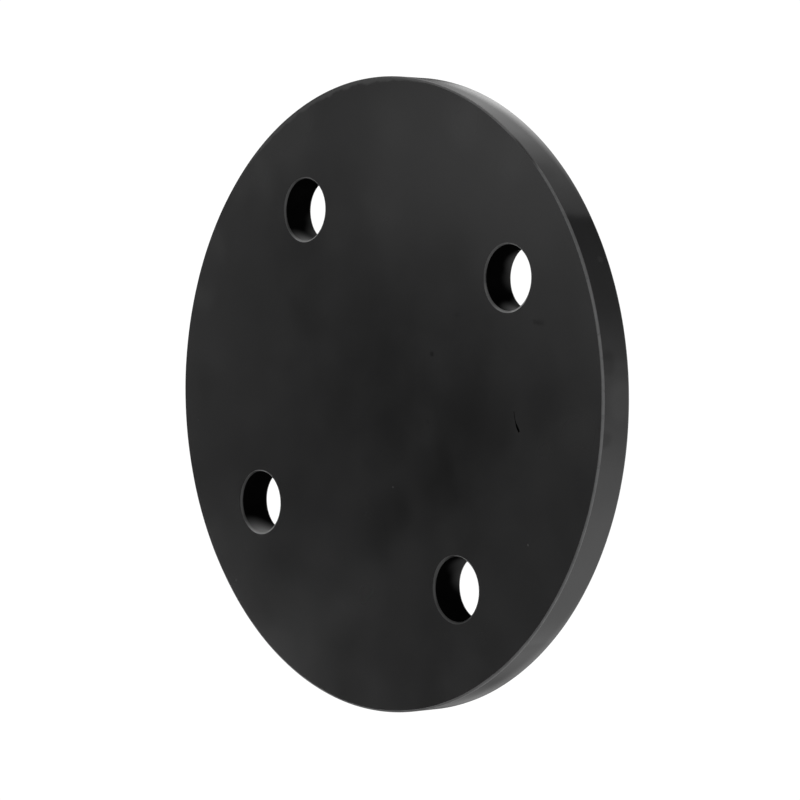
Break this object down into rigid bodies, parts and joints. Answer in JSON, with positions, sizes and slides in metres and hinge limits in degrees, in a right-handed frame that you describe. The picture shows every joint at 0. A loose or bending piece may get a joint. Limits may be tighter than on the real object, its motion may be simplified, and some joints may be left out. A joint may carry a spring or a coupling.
{
  "type": "blind flange",
  "caption": "Flat round steel blanking plate that closes the end of a flanged pipe, with through bolt holes on one circle and lightly broken edges.",
  "frame": {"origin": "centre of the plate's back face, on the plate's axis, where it lies on a flat surface", "axes": "+Z is the plate's axis, out of the front face; +X and +Y each lie midway between two neighbouring bolt holes"},
  "size_m": [0.18, 0.18, 0.01],
  "materials": {
    "black_coating": "satin black coating on steel plate, slightly mottled, lighter on the broken edges"
  },
  "bodies": {
    "root": {"flange_plate": "black_coating"}
  },
  "joints": []
}
